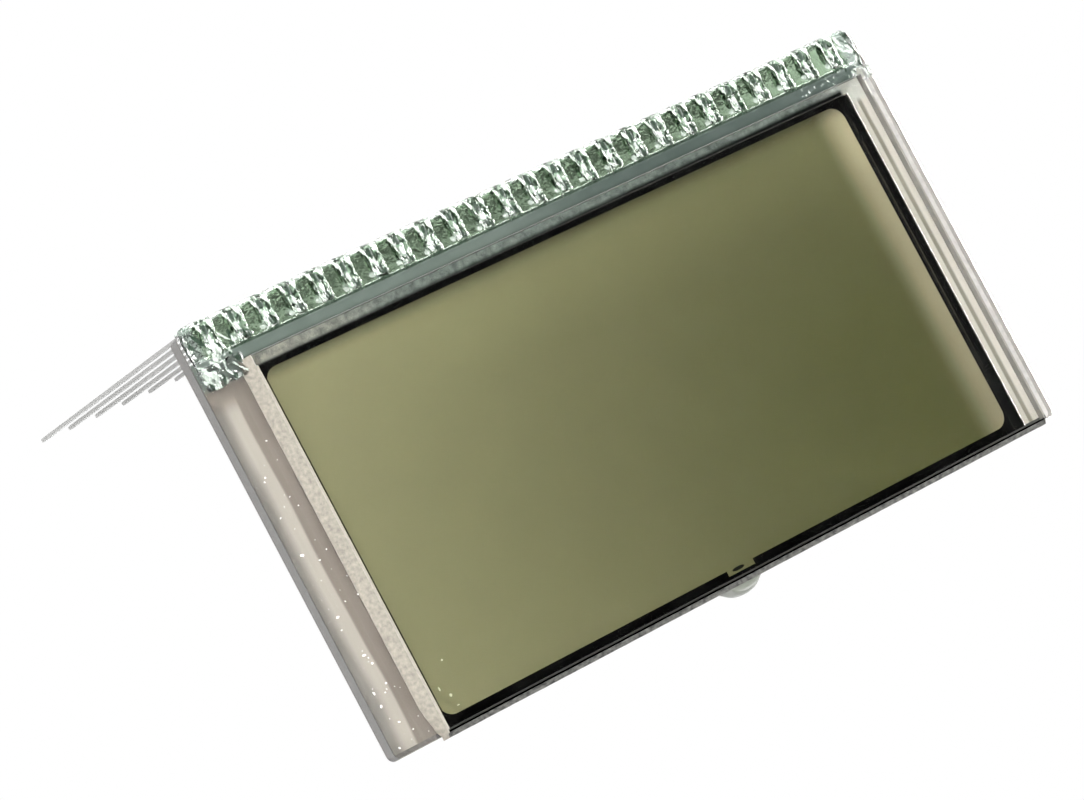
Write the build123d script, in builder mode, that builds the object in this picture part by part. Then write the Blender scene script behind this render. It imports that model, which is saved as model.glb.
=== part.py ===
from build123d import *
import os

# A segment lcd cell: two glass plates with the liquid crystal sealed between them, a polarizer on
# each face, and a row of clip pins on the rear plate's ledge, bedded in clear adhesive.
# Millimetres. +Z points out of the front face and +X runs along the pin row, to the right as seen
# from the front. The origin is the middle of the pin row, in the plane of the back face.

# Pin row
pin_count = 25
pin_pitch = 2.54
pin_thickness = 0.25
leg_width = 0.5
leg_reach = 28.5
leg_taper = 0.8
leg_tip_width = 0.25
head_width = 0.9
head_rise = 0.45
finger_reach = 1.75
finger_lip = 0.4
finger_lip_rise = 0.15
jaw_width = 0.45
jaw_reach = 1.6
jaw_window_height = 1.0
pin_bend_radius = 0.2
shoulder_drop = 0.9

# Glass plates
glass_thickness = 1.1
rear_glass_width = 33.65
rear_corner_radius = 0.9
row_to_left_end = 2.5
row_to_right_end = 3.04
ledge_width = 3.42
left_ledge = 4.2
right_ledge = 1.9
front_overhang = 0.3
cell_gap = 0.05

# Films
front_polarizer_thickness = 0.21
polarizer_left_margin = 0.05
polarizer_right_margin = 2.2
polarizer_bottom_margin = 0.6
polarizer_top_margin = 0.93
rear_polarizer_thickness = 0.36
rear_film_margin = 0.4
rear_film_to_jaw = 0.6

# Liquid crystal and its seal, both in the cell gap
active_corner_radius = 1.2
seal_left = 0.48
seal_right = 0.77
seal_bottom = 0.73
seal_top = 0.47
seal_past_film = 0.53
port_width = 2.6
port_shift = 0.1
plug_depth = 0.3
transfer_dot_radius = 0.4
transfer_dot_inset = 3.0

# End seal, a drop of adhesive over the fill port
end_seal_length = 4.0
end_seal_shift = -0.3
end_seal_bulge = 0.8
end_seal_height = 1.7
end_seal_chamfer = 0.4

# Pin adhesive
film_height = 0.2
bed_height = 0.6
hump_height = 0.95
hump_width = 1.5
hump_reach = 2.72
bed_slope = 0.4
outer_wrap = 0.28
wrap_drop = 0.6
wrap_slope = 0.35
bed_end_gap = 0.15
left_lobe_reach = 1.3
right_lobe_reach = 0.5
lobe_height = 0.5

# Clearances
pin_to_edge = 0.125

# Levels along Z, from the back face up
rear_glass_z = rear_polarizer_thickness
ledge_z = rear_glass_z + glass_thickness
front_glass_z = ledge_z + cell_gap
front_film_z = front_glass_z + glass_thickness

# Edges along Y, with the pin legs centred on zero
rear_top_y = -(pin_thickness / 2 + pin_to_edge)
rear_bottom_y = rear_top_y - rear_glass_width
front_top_y = rear_top_y - ledge_width
front_bottom_y = rear_bottom_y - front_overhang
film_top_y = front_top_y - polarizer_top_margin
film_bottom_y = front_bottom_y + polarizer_bottom_margin
active_top_y = film_top_y - seal_top
active_bottom_y = film_bottom_y + seal_bottom

# Edges along X
row_half_length = (pin_count - 1) / 2 * pin_pitch
rear_left_x = -row_half_length - row_to_left_end
rear_right_x = row_half_length + row_to_right_end
front_left_x = rear_left_x + left_ledge
front_right_x = rear_right_x - right_ledge
film_left_x = front_left_x + polarizer_left_margin
film_right_x = front_right_x - polarizer_right_margin
active_left_x = film_left_x + seal_left
active_right_x = film_right_x - seal_right
seal_right_x = film_right_x + seal_past_film
port_x = (active_left_x + active_right_x) / 2 + port_shift
end_seal_x = port_x + end_seal_shift

os.makedirs("parts", exist_ok=True)


def pin_place(number):
    """Where a pin stands along the row, counted from 1 at the left."""
    return (number - 1) * pin_pitch - row_half_length


def rectangle_between(left_x, bottom_y, right_x, top_y):
    """Draws a rectangle between two corners in the sketch that is open."""
    with Locations((left_x, bottom_y)):
        Rectangle(right_x - left_x, top_y - bottom_y, align=(Align.MIN, Align.MIN))


# Rear glass: the larger plate. Its strip past the front glass is the ledge that carries the pins.
with BuildPart() as rear_glass:
    with BuildSketch(Plane.XY.offset(rear_glass_z)):
        rectangle_between(rear_left_x, rear_bottom_y, rear_right_x, rear_top_y)
    extrude(amount=glass_thickness)
    fillet(rear_glass.edges().filter_by(Axis.Z), radius=rear_corner_radius)
rear_glass.part.label = "rear_glass"
export_step(rear_glass.part, "parts/rear_glass.step")

# Front glass: the smaller plate, over the liquid crystal.
with BuildPart() as front_glass:
    with BuildSketch(Plane.XY.offset(front_glass_z)):
        rectangle_between(front_left_x, front_bottom_y, front_right_x, front_top_y)
    extrude(amount=glass_thickness)
front_glass.part.label = "front_glass"
export_step(front_glass.part, "parts/front_glass.step")

# Front polarizer: a film cut square and laid a little off centre.
with BuildPart() as front_polarizer:
    with BuildSketch(Plane.XY.offset(front_film_z)):
        rectangle_between(film_left_x, film_bottom_y, film_right_x, film_top_y)
    extrude(amount=front_polarizer_thickness)
front_polarizer.part.label = "front_polarizer"
export_step(front_polarizer.part, "parts/front_polarizer.step")

# Rear polarizer: a thicker film, because the reflector is laminated to its back. It stops short
# of the pins' jaws.
with BuildPart() as rear_polarizer:
    with BuildSketch(Plane.XY):
        rectangle_between(
            rear_left_x + rear_film_margin,
            rear_bottom_y + rear_film_margin,
            rear_right_x - rear_film_margin,
            rear_top_y - jaw_reach - rear_film_to_jaw,
        )
    extrude(amount=rear_polarizer_thickness)
rear_polarizer.part.label = "rear_polarizer"
export_step(rear_polarizer.part, "parts/rear_polarizer.step")

# Liquid crystal: the thin layer inside the seal, with a neck out through the fill port.
plug_top_y = film_bottom_y + plug_depth
port_left_x = port_x - port_width / 2
port_right_x = port_x + port_width / 2
with BuildPart() as liquid_crystal:
    with BuildSketch(Plane.XY.offset(ledge_z)):
        rectangle_between(active_left_x, active_bottom_y, active_right_x, active_top_y)
    extrude(amount=cell_gap)
    fillet(liquid_crystal.edges().filter_by(Axis.Z), radius=active_corner_radius)
    with BuildSketch(Plane.XY.offset(ledge_z)):
        rectangle_between(port_left_x, plug_top_y, port_right_x, active_bottom_y + active_corner_radius)
    extrude(amount=cell_gap)
liquid_crystal.part.label = "liquid_crystal"
export_step(liquid_crystal.part, "parts/liquid_crystal.step")

# Transfer dots: conductive drops that join the front plate's electrode to the ledge's tracks.
dot_x = (active_right_x + seal_right_x) / 2
dot_places = {
    "transfer_dot_upper": active_top_y - transfer_dot_inset,
    "transfer_dot_lower": active_bottom_y + transfer_dot_inset,
}
for dot_name, dot_y in dot_places.items():
    with BuildPart() as transfer_dot:
        with BuildSketch(Plane.XY.offset(ledge_z)):
            with Locations((dot_x, dot_y)):
                Circle(transfer_dot_radius)
        extrude(amount=cell_gap)
    transfer_dot.part.label = dot_name
    export_step(transfer_dot.part, f"parts/{dot_name}.step")

# Seal: the dark border between the plates, cut through at the fill port.
with BuildPart() as seal_ring:
    with BuildSketch(Plane.XY.offset(ledge_z)):
        rectangle_between(film_left_x, film_bottom_y, seal_right_x, film_top_y)
        with Locations((port_x, film_bottom_y)):
            Rectangle(port_width, plug_depth, align=(Align.CENTER, Align.MIN), mode=Mode.SUBTRACT)
        with Locations([(dot_x, dot_y) for dot_y in dot_places.values()]):
            Circle(transfer_dot_radius, mode=Mode.SUBTRACT)
    extrude(amount=cell_gap)
    add(liquid_crystal.part, mode=Mode.SUBTRACT)
seal_ring.part.label = "seal_ring"
export_step(seal_ring.part, "parts/seal_ring.step")

# End seal: a domed drop on the bottom edges of both plates, with a tongue that plugs the port.
with BuildPart() as end_seal:
    with BuildSketch(Plane.XY.offset(ledge_z + cell_gap / 2)):
        with BuildLine():
            left_end = (end_seal_x - end_seal_length / 2, front_bottom_y)
            right_end = (end_seal_x + end_seal_length / 2, front_bottom_y)
            ThreePointArc(left_end, (end_seal_x, front_bottom_y - end_seal_bulge), right_end)
            Line(right_end, left_end)
        make_face()
    extrude(amount=end_seal_height / 2, both=True)
    chamfer(end_seal.edges().filter_by(GeomType.CIRCLE), length=end_seal_chamfer)
    with BuildSketch(Plane.XY.offset(ledge_z)):
        rectangle_between(port_left_x, front_bottom_y, port_right_x, plug_top_y)
    extrude(amount=cell_gap)
    with BuildSketch(Plane.XY.offset(ledge_z)):
        rectangle_between(port_left_x, front_bottom_y, port_right_x, rear_bottom_y)
    extrude(amount=-(end_seal_height / 2 - end_seal_chamfer))
end_seal.part.label = "end_seal"
export_step(end_seal.part, "parts/end_seal.step")

# Clip pins: each is one strip. The head grips the rear glass between a sprung finger on the ledge
# and a jaw pressed out of the strip, and the leg runs straight back from the display.
head_top_z = ledge_z + head_rise
tip_z = ledge_z - leg_reach
shoulder_z = rear_glass_z - shoulder_drop
jaw_z = rear_glass_z - pin_thickness / 2
finger_y = -(finger_reach + pin_thickness / 2)
pins = []
for number in range(1, pin_count + 1):
    across = pin_place(number)
    with BuildPart() as pin:
        with BuildSketch(Plane.YZ.offset(across)):
            with BuildLine():
                FilletPolyline(
                    (0, shoulder_z),
                    (0, head_top_z),
                    (finger_y, ledge_z + pin_thickness / 2),
                    (finger_y - finger_lip, ledge_z + pin_thickness / 2 + finger_lip_rise),
                    radius=pin_bend_radius,
                )
            trace(line_width=pin_thickness)
        extrude(amount=head_width / 2, both=True)
        with Locations((across, 0, jaw_z + pin_thickness / 2)):
            Box(
                jaw_width,
                pin_thickness,
                jaw_window_height,
                align=(Align.CENTER, Align.CENTER, Align.MIN),
                mode=Mode.SUBTRACT,
            )
        with Locations((across, 0, jaw_z)):
            Box(jaw_width, jaw_reach - rear_top_y, pin_thickness, align=(Align.CENTER, Align.MAX, Align.CENTER))
        with BuildSketch(Plane.XZ):
            with Locations((across, 0)):
                Polygon(
                    (-leg_width / 2, shoulder_z),
                    (leg_width / 2, shoulder_z),
                    (leg_width / 2, tip_z + leg_taper),
                    (leg_tip_width / 2, tip_z),
                    (-leg_tip_width / 2, tip_z),
                    (-leg_width / 2, tip_z + leg_taper),
                    align=None,
                )
        extrude(amount=pin_thickness / 2, both=True)
    pin.part.label = f"pin_{number:02d}"
    export_step(pin.part, f"parts/pin_{number:02d}.step")
    pins.append(pin.part)

# Pin adhesive: a clear bed over the ledge and down its edge, a hump over each pin's head, and a
# lobe at each end that has run down beside the front glass.
bed_left_x = rear_left_x + bed_end_gap
bed_right_x = rear_right_x - bed_end_gap
wrap_bottom_z = ledge_z - wrap_drop
with BuildPart() as pin_adhesive:
    with BuildSketch(Plane.YZ.offset(bed_left_x)):
        Polygon(
            (front_top_y, ledge_z),
            (front_top_y, ledge_z + film_height),
            (-hump_reach, ledge_z + film_height),
            (-hump_reach + bed_slope, ledge_z + bed_height),
            (0, ledge_z + bed_height),
            (outer_wrap, ledge_z + bed_height - outer_wrap),
            (outer_wrap, wrap_bottom_z),
            (rear_top_y, wrap_bottom_z - wrap_slope),
            (rear_top_y, ledge_z),
            align=None,
        )
    extrude(amount=bed_right_x - bed_left_x)
    for number in range(1, pin_count + 1):
        with BuildSketch(Plane.YZ.offset(pin_place(number))):
            Polygon(
                (-hump_reach, ledge_z),
                (-hump_reach, ledge_z + film_height),
                (-hump_reach + bed_slope, ledge_z + hump_height),
                (0, ledge_z + hump_height),
                (outer_wrap, ledge_z + bed_height - outer_wrap),
                (outer_wrap, ledge_z),
                align=None,
            )
        extrude(amount=hump_width / 2, both=True)
    with BuildSketch(Plane.XY.offset(ledge_z)):
        rectangle_between(bed_left_x, front_top_y - left_lobe_reach, front_left_x, rear_top_y)
        rectangle_between(front_right_x, front_top_y - right_lobe_reach, bed_right_x, rear_top_y)
    extrude(amount=lobe_height)
    for pin_part in pins:
        add(pin_part, mode=Mode.SUBTRACT)
pin_adhesive.part.label = "pin_adhesive"
export_step(pin_adhesive.part, "parts/pin_adhesive.step")
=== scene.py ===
# %% [markdown]
# # The bare glass of a segment display
#
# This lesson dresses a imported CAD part. The object is the glass of a reflective segment display: two
# plates with liquid crystal between them, a polarizer film on each face, and a row of 25 clip pins
# bedded in clear green adhesive. The CAD solids give every place and size, in metres. Here they get
# their finish, and the pieces whose real surface is freer than a CAD solid are modelled again.

# %% Load the frame
import math
import random

import bmesh
import bpy
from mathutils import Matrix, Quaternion, Vector


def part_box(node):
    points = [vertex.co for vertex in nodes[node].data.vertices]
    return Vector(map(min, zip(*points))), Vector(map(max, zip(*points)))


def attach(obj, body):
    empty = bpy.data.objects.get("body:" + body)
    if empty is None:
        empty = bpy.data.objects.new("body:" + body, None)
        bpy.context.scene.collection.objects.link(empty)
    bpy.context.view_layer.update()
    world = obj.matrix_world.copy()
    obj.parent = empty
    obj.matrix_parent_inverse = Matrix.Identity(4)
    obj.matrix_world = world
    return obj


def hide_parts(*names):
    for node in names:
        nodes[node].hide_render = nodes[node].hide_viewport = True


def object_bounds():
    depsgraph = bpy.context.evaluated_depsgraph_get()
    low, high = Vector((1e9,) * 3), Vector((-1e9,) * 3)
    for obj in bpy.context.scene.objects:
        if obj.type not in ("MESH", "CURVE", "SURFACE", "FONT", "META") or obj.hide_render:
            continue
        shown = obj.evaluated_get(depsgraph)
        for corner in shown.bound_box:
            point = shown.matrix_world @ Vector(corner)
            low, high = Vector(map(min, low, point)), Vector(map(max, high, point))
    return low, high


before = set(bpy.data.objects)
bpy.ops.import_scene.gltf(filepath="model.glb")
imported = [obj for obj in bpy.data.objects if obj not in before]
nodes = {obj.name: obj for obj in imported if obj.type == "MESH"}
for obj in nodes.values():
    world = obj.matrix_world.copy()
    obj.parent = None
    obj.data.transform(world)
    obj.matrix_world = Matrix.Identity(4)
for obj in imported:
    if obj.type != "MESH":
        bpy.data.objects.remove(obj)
cad_low, cad_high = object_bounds()
MM = 0.001
print("CAD box in mm:", [round(v / MM, 2) for v in cad_high - cad_low], "in", len(nodes), "nodes")

# %% [markdown]
# ## Camera
#
# The photograph was taken from the left of the display with a long lens, with the camera turned on
# its axis. A camera can be aimed by two angles or by the point that it looks at. A place, an aim
# point and a roll are used here, because they can be read and changed one at a time.

# %% Camera
camera_place = Vector((-218.37, -35.87, 317.04)) * MM
camera_aim = Vector((-7.9, -15.53, 1.46)) * MM
camera_roll = math.radians(57.45)
camera_lens, camera_sensor = 172.9, 36.0
nearest_seen, farthest_seen = 0.01, 10.0

camera = bpy.data.objects.new("camera", bpy.data.cameras.new("camera"))
bpy.context.scene.collection.objects.link(camera)
camera.data.lens, camera.data.sensor_width = camera_lens, camera_sensor
camera.data.clip_start, camera.data.clip_end = nearest_seen, farthest_seen
camera.location = camera_place
camera.rotation_mode = "QUATERNION"
level_view = (camera_aim - camera_place).to_track_quat("-Z", "Y")
camera.rotation_quaternion = level_view @ Quaternion((0, 0, 1), camera_roll)
bpy.context.scene.camera = camera
print("camera", round((camera_aim - camera_place).length / MM), "mm from the glass")

# %% [markdown]
# ## Helpers for wiring
#
# Every material below is a tree of nodes. Writing each node out by hand takes five lines, so one
# helper fills or links a node's inputs, one adds a node with its options, and two more do sums.


# %% Helpers that add nodes
def fill(tree, made, inputs):
    """Links each socket in inputs to a node, and types in any other value."""
    for key, value in inputs.items():
        if isinstance(value, bpy.types.NodeSocket):
            tree.links.new(value, made.inputs[key])
        else:
            made.inputs[key].default_value = value


def add_node(tree, kind, inputs=None, **settings):
    """Adds a shader node with its options and inputs."""
    made = tree.nodes.new(kind if kind.startswith("NodeGroup") else "ShaderNode" + kind)
    for name, value in settings.items():
        setattr(made, name, value)
    fill(tree, made, inputs or {})
    return made


def math_node(tree, operation, first, second=0.0, third=0.0, clamp=False):
    """One Math node, given back as its output."""
    inputs = {0: first, 1: second, 2: third}
    return add_node(tree, "Math", inputs, operation=operation, use_clamp=clamp).outputs[0]


def product(tree, first, *others):
    """Values multiplied with one another."""
    for other in others:
        first = math_node(tree, "MULTIPLY", first, other)
    return first


# %% [markdown]
# ## Floor, backdrop light and lamps
#
# The object stands in a white studio. Clear glass shows little of itself: it shows what it mirrors
# and what lies behind it. The lamps are large soft panels beside and behind the object. No lamp
# stands where the top film would mirror it to the camera, so the dark border stays dark. One world
# colour for every ray would be simpler, but it would veil that border, so the pale backdrop and the
# white of the floor are seen by the camera alone. Other rays meet a floor of a middle grey.

# %% Floor
floor_gap = 0.05 * MM
floor_size = 6.0
floor_grey = (0.42, 0.42, 0.42, 1)
floor_roughness = 0.9
white = (1, 1, 1, 1)


def camera_only(tree, other_rays, shown):
    """A shader that the camera alone sees, mixed with the one that every other ray meets."""
    seen = add_node(tree, "LightPath").outputs["Is Camera Ray"]
    return add_node(tree, "MixShader", {0: seen, 1: other_rays.outputs[0], 2: shown.outputs[0]}).outputs[0]


bpy.ops.object.select_all(action="DESELECT")
bpy.ops.mesh.primitive_plane_add(size=floor_size, location=(0, 0, cad_low.z - floor_gap))
floor = bpy.context.object
floor.name = "floor"
floor_material = bpy.data.materials.new("studio_floor")
floor_material.use_nodes = True
tree = floor_material.node_tree
floor_shader = tree.nodes["Principled BSDF"]
fill(tree, floor_shader, {"Base Color": floor_grey, "Roughness": floor_roughness, "Specular IOR Level": 0.0})
paper = add_node(tree, "Emission", {"Color": white, "Strength": 1.0})
fill(tree, tree.nodes["Material Output"], {"Surface": camera_only(tree, floor_shader, paper)})
floor.data.materials.append(floor_material)
print("floor", round(floor_gap / MM, 2), "mm under the pins")

# %% World
dusk_start, dusk_end = 0.15, 0.6
dusk_low, dusk_high = 0.35, 0.003
room_tint = (0.95, 0.97, 1, 1)
backdrop_strength = 0.98
world = bpy.data.worlds.new("studio")
bpy.context.scene.world = world
world.use_nodes = True
sky = world.node_tree
sky.nodes.clear()
towards = add_node(sky, "SeparateXYZ", {0: add_node(sky, "NewGeometry").outputs["Incoming"]}).outputs
climb = math_node(sky, "MULTIPLY", towards[2], -1.0)
dusk_range = {0: climb, 1: dusk_start, 2: dusk_end, 3: dusk_low, 4: dusk_high}
dusk = add_node(sky, "MapRange", dusk_range, interpolation_type="SMOOTHSTEP")
room = add_node(sky, "Background", {"Color": room_tint, "Strength": dusk.outputs[0]})
backdrop = add_node(sky, "Background", {"Color": white, "Strength": backdrop_strength})
add_node(sky, "OutputWorld", {"Surface": camera_only(sky, room, backdrop)})
print("world:", len(sky.nodes), "nodes")


# %% Lamps
def panel_lamp(name, place, size, watts):
    """A soft panel that faces the part's origin."""
    data = bpy.data.lights.new(name, "AREA")
    data.shape = "RECTANGLE"
    data.size, data.size_y = size
    data.energy = watts
    lamp = bpy.data.objects.new(name, data)
    bpy.context.scene.collection.objects.link(lamp)
    lamp.location = place
    lamp.rotation_mode = "QUATERNION"
    lamp.rotation_quaternion = (-Vector(place)).to_track_quat("-Z", "Y")


panel_lamp("key_overhead", (-0.62, 0.05, 0.9), (0.8, 0.8), 61)
panel_lamp("glint_overhead", (-0.55, -0.1, 0.9), (0.14, 0.14), 4)
panel_lamp("fill_left", (-1.1, -0.2, 0.45), (0.9, 0.5), 5)
panel_lamp("front_right", (0.75, -0.95, 0.6), (0.6, 0.5), 18)
panel_lamp("back_right", (0.6, 0.95, 0.3), (0.35, 0.22), 15)
panel_lamp("back_left", (-0.35, 1.0, 0.42), (0.35, 0.22), 10)
panel_lamp("right_low", (1.1, 0.0, 0.2), (0.7, 0.3), 44)
bpy.context.scene.view_settings.view_transform = "Standard"

# %% [markdown]
# ## Shared effects
#
# Two effects are wanted in more than one material: slow unevenness of tone and gloss, and fine grain
# that runs along one direction. Each is a node group, built once, with its sizes in millimetres. A
# group puts out only masks, values and heights, and each material decides what they do.


# %% Helpers for node groups
def new_group(name, inputs, outputs):
    """A shader node group with named inputs {name: (type, start value)} and named float outputs."""
    group = bpy.data.node_groups.new(name, "ShaderNodeTree")
    for label, (kind, start) in inputs.items():
        socket = group.interface.new_socket(name=label, in_out="INPUT", socket_type="NodeSocket" + kind)
        if start is not None:
            socket.default_value = start
    for label in outputs:
        group.interface.new_socket(name=label, in_out="OUTPUT", socket_type="NodeSocketFloat")
    return group, add_node(group, "NodeGroupInput").outputs, add_node(group, "NodeGroupOutput")


def around_one(group, noise, amount):
    """Noise from 0 to 1, turned into a tone that swings around 1."""
    centred = math_node(group, "SUBTRACT", noise, 0.5)
    return math_node(group, "ADD", product(group, centred, amount), 1.0)


def placed_group(tree, group, inputs):
    """A group node has its sockets only once it knows its group, so that is set first."""
    made = tree.nodes.new("ShaderNodeGroup")
    made.node_tree = group
    fill(tree, made, inputs)
    return made.outputs


# %% Unevenness: a tone, a gloss mask and a height
fine_share, fine_times = 0.3, 6.0
uneven, given, result = new_group(
    "unevenness",
    {"Vector": ("Vector", None), "Size": ("Float", 1.0), "Amount": ("Float", 0.1)},
    ["Tone", "Mask", "Height"],
)
frequency = math_node(uneven, "DIVIDE", 1.0, given["Size"])
finer = product(uneven, frequency, fine_times)
place = given["Vector"]
broad = add_node(uneven, "TexNoise", {"Vector": place, "Scale": frequency, "Detail": 3.0}).outputs["Fac"]
fine = add_node(uneven, "TexNoise", {"Vector": place, "Scale": finer, "Detail": 2.0}).outputs["Fac"]
both = add_node(uneven, "Mix", {0: fine_share, 2: broad, 3: fine}, data_type="FLOAT").outputs[0]
fill(uneven, result, {"Tone": around_one(uneven, both, given["Amount"]), "Mask": both, "Height": fine})

# %% Drawn grain: streaks that run along one direction
streaks, given, result = new_group(
    "streaks",
    {"Vector": ("Vector", None), "Stretch": ("Vector", (1, 1, 1)), "Amount": ("Float", 0.2)},
    ["Tone", "Height"],
)
drawn = add_node(streaks, "VectorMath", {0: given["Vector"], 1: given["Stretch"]}, operation="MULTIPLY")
noise_inputs = {"Vector": drawn.outputs[0], "Scale": 1.0, "Detail": 4.0, "Roughness": 0.6}
grain = add_node(streaks, "TexNoise", noise_inputs).outputs["Fac"]
fill(streaks, result, {"Tone": around_one(streaks, grain, given["Amount"]), "Height": grain})
print("effects:", [g.name for g in bpy.data.node_groups])

# %% [markdown]
# ## Materials
#
# Each material starts from the Principled shader. Its pattern is laid out in millimetres from the
# part's own origin, so it stays in place from any side. Tones are mixed along X and Y with soft
# ramps. A painted picture would be another way, but it would hold only one view.


# %% Helpers that start a material and finish it
def new_material(name, **plain):
    """A material with its tree, its Principled shader and the place on the piece in millimetres."""
    material = bpy.data.materials.new(name)
    material.use_nodes = True
    tree = material.node_tree
    shader = tree.nodes["Principled BSDF"]
    fill(tree, shader, {label.replace("_", " "): value for label, value in plain.items()})
    place = add_node(tree, "TexCoord").outputs["Object"]
    in_mm = add_node(tree, "Mapping", {"Vector": place, "Scale": (1 / MM,) * 3}).outputs[0]
    return material, tree, shader, in_mm


def wire(tree, shader, colour, roughness):
    """Feeds a colour and a roughness into the shader."""
    fill(tree, shader, {"Base Color": colour, "Roughness": roughness})


def bumped(tree, shader, height, distance, strength):
    """Lets a height, in metres from low to high, shade the surface."""
    bump = add_node(tree, "Bump", {"Height": height, "Distance": distance, "Strength": strength})
    fill(tree, shader, {"Normal": bump.outputs[0]})


def dress(material, *names):
    """Gives CAD nodes a material in place of their own."""
    for name in names:
        nodes[name].data.materials.clear()
        nodes[name].data.materials.append(material)


# %% Helpers for masks and tones
def axes(tree, place):
    """X, Y and Z of a place."""
    return add_node(tree, "SeparateXYZ", {0: place}).outputs


def clouds(tree, place, size, amount):
    """Unevenness of a size in mm."""
    return placed_group(tree, uneven, {"Vector": place, "Size": size, "Amount": amount})


def drawn_grain(tree, place, stretch, amount):
    """Streaks, fine along the axes whose stretch is large."""
    return placed_group(tree, streaks, {"Vector": place, "Stretch": stretch, "Amount": amount})


def tinted(tree, colour, tone):
    """A colour made lighter and darker by a tone."""
    inputs = {0: 1.0, 6: colour, 7: tone}
    return add_node(tree, "Mix", inputs, data_type="RGBA", blend_type="MULTIPLY").outputs[2]


def blended(tree, mask, first, second):
    """One colour where the mask is 0 and the other where it is 1."""
    return add_node(tree, "Mix", {0: mask, 6: first, 7: second}, data_type="RGBA").outputs[2]


def layered(tree, colour, *layers):
    """A colour with others laid over it in turn. Each layer is (mask, colour)."""
    for mask, over in layers:
        colour = blended(tree, mask, colour, over)
    return colour


def ramp(tree, value, start, end, low=0.0, high=1.0, smooth=True):
    """A value from start to end, turned into low to high and held at both."""
    kind = "SMOOTHSTEP" if smooth else "LINEAR"
    inputs = {0: value, 1: start, 2: end, 3: low, 4: high}
    return add_node(tree, "MapRange", inputs, interpolation_type=kind).outputs[0]


def spot(tree, across, along, centre, reach):
    """A soft oval mask around a point, in millimetres."""
    run = math_node(tree, "DIVIDE", math_node(tree, "SUBTRACT", across, centre[0]), reach[0])
    climb = math_node(tree, "DIVIDE", math_node(tree, "SUBTRACT", along, centre[1]), reach[1])
    far = math_node(tree, "ADD", math_node(tree, "POWER", run, 2.0), math_node(tree, "POWER", climb, 2.0))
    return ramp(tree, far, 1.1, 0.7)


# %% [markdown]
# ## Olive field
#
# The liquid crystal shows as the display's field. Its colour carries painted light: it darkens to the right
# as painted shade, has a painted glow near its right edge and a painted bright crest below its top. Its tone
# is a curve along X plus a curve along Y. A gradient texture would bend only one way, so the two curves are
# added in Math nodes.

# %% Olive field: its tone
field_low, field_high = (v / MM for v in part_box("liquid_crystal"))
# The lit and the shaded colour of the field, and its glow, are painted light and painted shade.
field_lit = (0.4, 0.379, 0.217, 1)
field_shaded = (0.12, 0.122, 0.046, 1)
field_level, field_across, field_up = 0.197, -0.0044, 0.0027
field_across_bend, field_up_bend = 0.00007, 0.00015
field_painted_glow = (0.4, 0.355, 0.235, 1)
painted_glow_width, painted_glow_rise = 3.3, 0.03
olive_field, tree, shader, place = new_material("olive_field", Specular_IOR_Level=0.2)
axis = axes(tree, place)
up = math_node(tree, "SUBTRACT", axis[1], (field_low.y + field_high.y) / 2)
across = product(tree, axis[0], math_node(tree, "MULTIPLY_ADD", axis[0], field_across_bend, field_across))
rising = product(tree, up, math_node(tree, "MULTIPLY_ADD", up, field_up_bend, field_up))
level = math_node(tree, "ADD", math_node(tree, "ADD", across, rising), field_level)
field = blended(tree, ramp(tree, level, field_shaded[0], field_lit[0], smooth=False), field_shaded, field_lit)
from_right = math_node(tree, "SUBTRACT", field_high.x, axis[0])
painted_glow = ramp(tree, from_right, 0.2, painted_glow_width, 1.0, 0.0)
brighter = math_node(tree, "MULTIPLY_ADD", math_node(tree, "MAXIMUM", up, 0.0), painted_glow_rise, 1.0)
field = blended(tree, painted_glow, field, tinted(tree, field_painted_glow, brighter))
print("field", [round(v, 1) for v in field_high - field_low], "mm")

# %% Olive field: its painted crest of light, its painted shade and its marks
# The crest is a painted band of light below the top edge, and the top shade is painted shade.
crest_height, crest_start, crest_end = 0.13, 3.0, 8.0
crest_rise, crest_left, shade_fall = (0.8, 2.2), (-22.0, -10.0), (-0.3, 1.2)
side_shade = (0.1, 0.19)
top_shade = 0.3
field_roughness = 0.5
shade_black = (0.002, 0.002, 0.001, 1)
port_black = (0.004, 0.004, 0.002, 1)
port_spot, port_reach = (0.08, -33.02), (0.62, 0.15)
grain_white = (0.95, 0.93, 0.72, 1)
# A few grains were shut in under the film at the lower left: the place and the reach of each.
shut_grains = (
    ((-26.18, -29.05), (0.1, 0.08)),
    ((-27.49, -30.8), (0.07, 0.17)),
    ((-26.87, -31.54), (0.13, 0.13)),
    ((-26.7, -32.4), (0.14, 0.04)),
)
from_top = math_node(tree, "SUBTRACT", field_high.y, axis[1])
crest_down = ramp(tree, from_top, crest_end, crest_start)
crest_right = ramp(tree, axis[0], *crest_left)
crest = product(tree, ramp(tree, from_top, *crest_rise, 0.0, crest_height), crest_down, crest_right)
top_tone = math_node(tree, "ADD", crest, ramp(tree, from_top, *shade_fall, top_shade, 1.0))
field = tinted(tree, field, top_tone)
from_side = math_node(tree, "SUBTRACT", axis[0], field_low.x)
field = blended(tree, ramp(tree, from_side, *side_shade), shade_black, field)
marks = [((port_spot, port_reach), port_black)] + [(grain, grain_white) for grain in shut_grains]
field = layered(tree, field, *((spot(tree, axis[0], axis[1], *oval), colour) for oval, colour in marks))
slow = clouds(tree, place, 5.0, 0.14)
grit = clouds(tree, place, 0.5, 0.05)
wire(tree, shader, tinted(tree, field, product(tree, slow["Tone"], grit["Tone"])), field_roughness)
bumped(tree, shader, slow["Height"], 0.00001, 0.2)
dress(olive_field, "liquid_crystal")
print("olive_field has", len(tree.nodes), "nodes")

# %% [markdown]
# ## Seal and transfer dots
#
# The border looks black, because the seal lies between two crossed films. It is epoxy with an uneven
# gloss. A flat black would do from afar, but the photograph shows one faint line in the border at
# the right, which a mask between two values of X paints here.

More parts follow.
